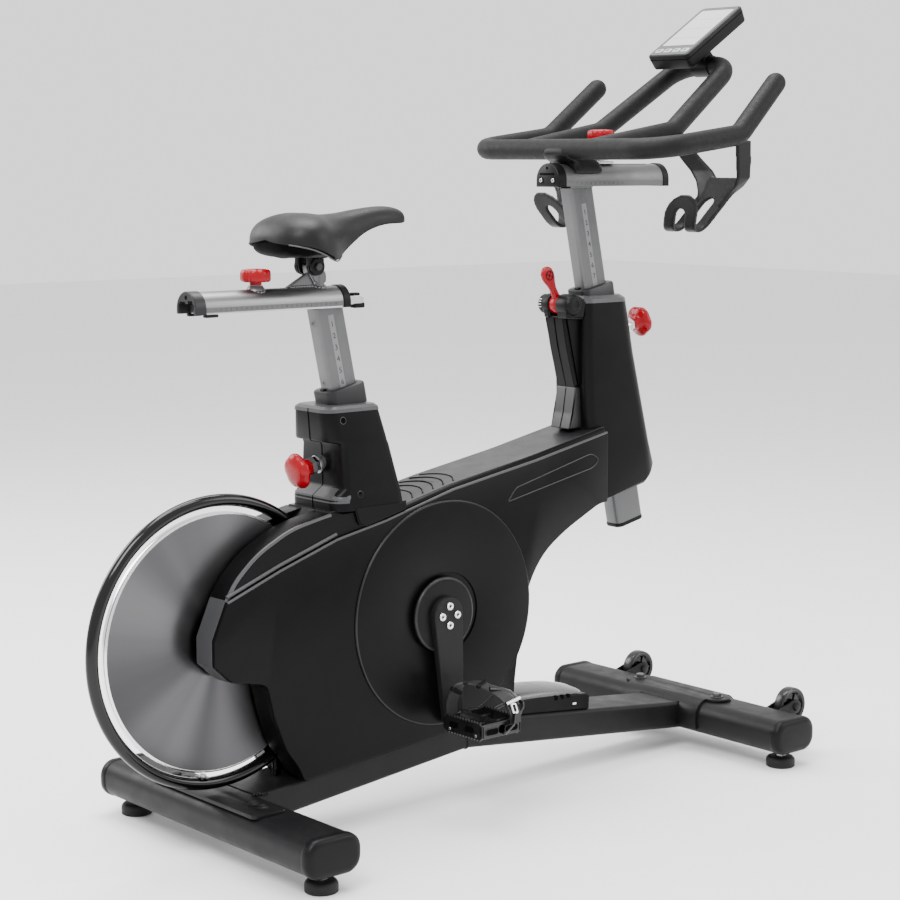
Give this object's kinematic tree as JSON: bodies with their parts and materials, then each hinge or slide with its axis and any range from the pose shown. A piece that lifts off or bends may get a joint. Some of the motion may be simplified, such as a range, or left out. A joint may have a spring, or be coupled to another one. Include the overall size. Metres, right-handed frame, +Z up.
{
  "type": "exercise bike",
  "caption": "Indoor-cycling exercise bike with an open rear flywheel in a guard ring, covered belt drive, sliding saddle and handlebar posts, looped handlebar, console and levelling feet.",
  "frame": {"origin": "on the floor under the middle of the overall length, in the centre plane", "axes": "+X points forward (from the flywheel to the handlebar end), +Y to the rider's left, +Z up"},
  "size_m": [1.404, 0.582, 1.359],
  "materials": {
    "black_steel": "fine textured satin powder coat",
    "gloss_black_steel": "gloss enamel",
    "silver_steel": "satin silver",
    "bright_steel": "polished",
    "flywheel_steel": "turned faces, polished rim",
    "cast_pulley": "machined",
    "satin_black_plastic": "fine grain",
    "cover_plastic": "semi-gloss with grey bevels",
    "pedal_plastic": "satin",
    "wheel_plastic": "gloss hub with grey tread",
    "holder_plastic": "satin",
    "red_plastic": "gloss",
    "foot_rubber": "matt",
    "belt_rubber": "ribbed",
    "grip_foam": "textured foam",
    "saddle_cover": "smooth stitched cover",
    "console_plastic": "satin housing with light display window"
  },
  "bodies": {
    "base": {"rear_stabiliser": "black_steel", "front_stabiliser": "black_steel", "stabiliser_caps": "satin_black_plastic", "base_beams": "black_steel", "base_brackets": "black_steel", "base_bolts": "bright_steel", "seat_tube": "silver_steel", "head_tube": "silver_steel", "frame_tubes": "black_steel", "guard_ring": "gloss_black_steel", "shroud_right": "cover_plastic", "shroud_left": "cover_plastic", "seat_cover_right": "cover_plastic", "seat_cover_left": "cover_plastic", "head_cover_right": "cover_plastic", "head_cover_left": "cover_plastic", "lever_housing": "satin_black_plastic", "beam_cover": "satin_black_plastic", "post_collars": "satin_black_plastic", "drive_belt": "belt_rubber", "flywheel_axle": "bright_steel", "crank_bearings": "bright_steel"},
    "flywheel_group": {"flywheel": "flywheel_steel", "flywheel_pulley": "cast_pulley", "flywheel_bearings": "bright_steel"},
    "crank_group": {"crank_spindle": "bright_steel", "drive_pulley": "satin_black_plastic", "right_crank": "gloss_black_steel", "left_crank": "gloss_black_steel", "crank_bolts": "bright_steel"},
    "right_pedal_group": {"right_pedal": "pedal_plastic", "right_toe_strap": "pedal_plastic"},
    "left_pedal_group": {"left_pedal": "pedal_plastic", "left_toe_strap": "pedal_plastic"},
    "seat_post_group": {"seat_post": "silver_steel"},
    "slider_group": {"saddle_slider": "silver_steel", "slider_caps": "satin_black_plastic"},
    "saddle_group": {"saddle_clamp": "gloss_black_steel", "saddle_shell": "satin_black_plastic", "saddle_cushion": "saddle_cover"},
    "saddle_knob_group": {"saddle_slide_knob": "red_plastic"},
    "seat_pin_group": {"seat_pull_knob": "red_plastic"},
    "handlebar_post_group": {"handlebar_post": "silver_steel", "rail_caps": "satin_black_plastic"},
    "handlebar_group": {"handlebar": "grip_foam", "bar_neck": "satin_black_plastic", "bottle_holders": "holder_plastic", "console_mount": "satin_black_plastic"},
    "bar_knob_group": {"bar_slide_knob": "red_plastic"},
    "head_pin_group": {"head_pull_knob": "red_plastic"},
    "console_group": {"console": "console_plastic"},
    "brake_lever_group": {"brake_lever": "red_plastic"},
    "magnet_carrier_group": {"magnet_carrier": "cast_pulley"},
    "right_transport_wheel_group": {"right_transport_wheel": "wheel_plastic"},
    "left_transport_wheel_group": {"left_transport_wheel": "wheel_plastic"},
    "rear_right_foot_group": {"rear_right_foot": "foot_rubber"},
    "rear_left_foot_group": {"rear_left_foot": "foot_rubber"},
    "front_right_foot_group": {"front_right_foot": "foot_rubber"},
    "front_left_foot_group": {"front_left_foot": "foot_rubber"}
  },
  "joints": [
    {"name": "flywheel_spin", "type": "hinge", "parent": "base", "child": "flywheel_group", "pos_m": [-0.467, 0, 0.3365], "axis": [0, 1, 0], "continuous": true},
    {"name": "crank_spin", "type": "hinge", "parent": "base", "child": "crank_group", "pos_m": [-0.068, 0, 0.338], "axis": [0, 1, 0], "continuous": true},
    {"name": "right_pedal_spin", "type": "hinge", "parent": "crank_group", "child": "right_pedal_group", "pos_m": [-0.05614, -0.16, 0.16841], "axis": [0, 1, 0], "continuous": true},
    {"name": "left_pedal_spin", "type": "hinge", "parent": "crank_group", "child": "left_pedal_group", "pos_m": [-0.07986, 0.16, 0.50759], "axis": [0, 1, 0], "continuous": true},
    {"name": "seat_post_slide", "type": "slide", "parent": "base", "child": "seat_post_group", "axis": [-0.2079, 0, 0.9781], "range_m": [-0.09, 0.095]},
    {"name": "saddle_slide", "type": "slide", "parent": "seat_post_group", "child": "slider_group", "axis": [1, 0, 0], "range_m": [-0.05, 0.05]},
    {"name": "saddle_tilt", "type": "hinge", "parent": "slider_group", "child": "saddle_group", "pos_m": [-0.28, 0, 0.911], "axis": [0, 1, 0], "range_deg": [-8, 8]},
    {"name": "saddle_knob_turn", "type": "hinge", "parent": "slider_group", "child": "saddle_knob_group", "pos_m": [-0.384, 0, 0.883], "axis": [0, 0, 1], "continuous": true},
    {"name": "seat_pin_pull", "type": "slide", "parent": "base", "child": "seat_pin_group", "axis": [-0.9781, 0, -0.2079], "range_m": [0, 0.012], "stiffness_N_per_m": 2000, "springref_m": -0.005},
    {"name": "handlebar_post_slide", "type": "slide", "parent": "base", "child": "handlebar_post_group", "axis": [-0.2079, 0, 0.9781], "range_m": [-0.09, 0.095]},
    {"name": "handlebar_slide", "type": "slide", "parent": "handlebar_post_group", "child": "handlebar_group", "axis": [1, 0, 0], "range_m": [-0.014, 0.1]},
    {"name": "bar_knob_turn", "type": "hinge", "parent": "handlebar_group", "child": "bar_knob_group", "pos_m": [0.36, 0, 1.08], "axis": [0, 0, 1], "continuous": true},
    {"name": "head_pin_pull", "type": "slide", "parent": "base", "child": "head_pin_group", "axis": [0.9781, 0, 0.2079], "range_m": [0, 0.012], "stiffness_N_per_m": 2000, "springref_m": -0.005},
    {"name": "console_tilt", "type": "hinge", "parent": "handlebar_group", "child": "console_group", "pos_m": [0.613, 0, 1.28], "axis": [0, 1, 0], "range_deg": [-12, 12]},
    {"name": "brake_lever_swing", "type": "hinge", "parent": "base", "child": "brake_lever_group", "pos_m": [0.261, 0, 0.831], "axis": [0, 1, 0], "range_deg": [-25, 35]},
    {"name": "magnet_carrier_swing", "type": "hinge", "parent": "base", "child": "magnet_carrier_group", "pos_m": [-0.218, 0, 0.4055], "axis": [0, 1, 0], "range_deg": [-5, 5]},
    {"name": "right_transport_wheel_spin", "type": "hinge", "parent": "base", "child": "right_transport_wheel_group", "pos_m": [0.668, -0.1955, 0.084], "axis": [0, 1, 0], "continuous": true},
    {"name": "left_transport_wheel_spin", "type": "hinge", "parent": "base", "child": "left_transport_wheel_group", "pos_m": [0.668, 0.1955, 0.084], "axis": [0, 1, 0], "continuous": true},
    {"name": "rear_right_foot_level", "type": "slide", "parent": "base", "child": "rear_right_foot_group", "axis": [0, 0, -1], "range_m": [0, 0.012]},
    {"name": "rear_left_foot_level", "type": "slide", "parent": "base", "child": "rear_left_foot_group", "axis": [0, 0, -1], "range_m": [0, 0.012]},
    {"name": "front_right_foot_level", "type": "slide", "parent": "base", "child": "front_right_foot_group", "axis": [0, 0, -1], "range_m": [0, 0.012]},
    {"name": "front_left_foot_level", "type": "slide", "parent": "base", "child": "front_left_foot_group", "axis": [0, 0, -1], "range_m": [0, 0.012]}
  ],
  "couplings": [
    {"joint": "crank_spin", "follows": "flywheel_spin", "ratio": 0.25},
    {"joint": "magnet_carrier_swing", "follows": "brake_lever_swing", "ratio": 0.12}
  ]
}
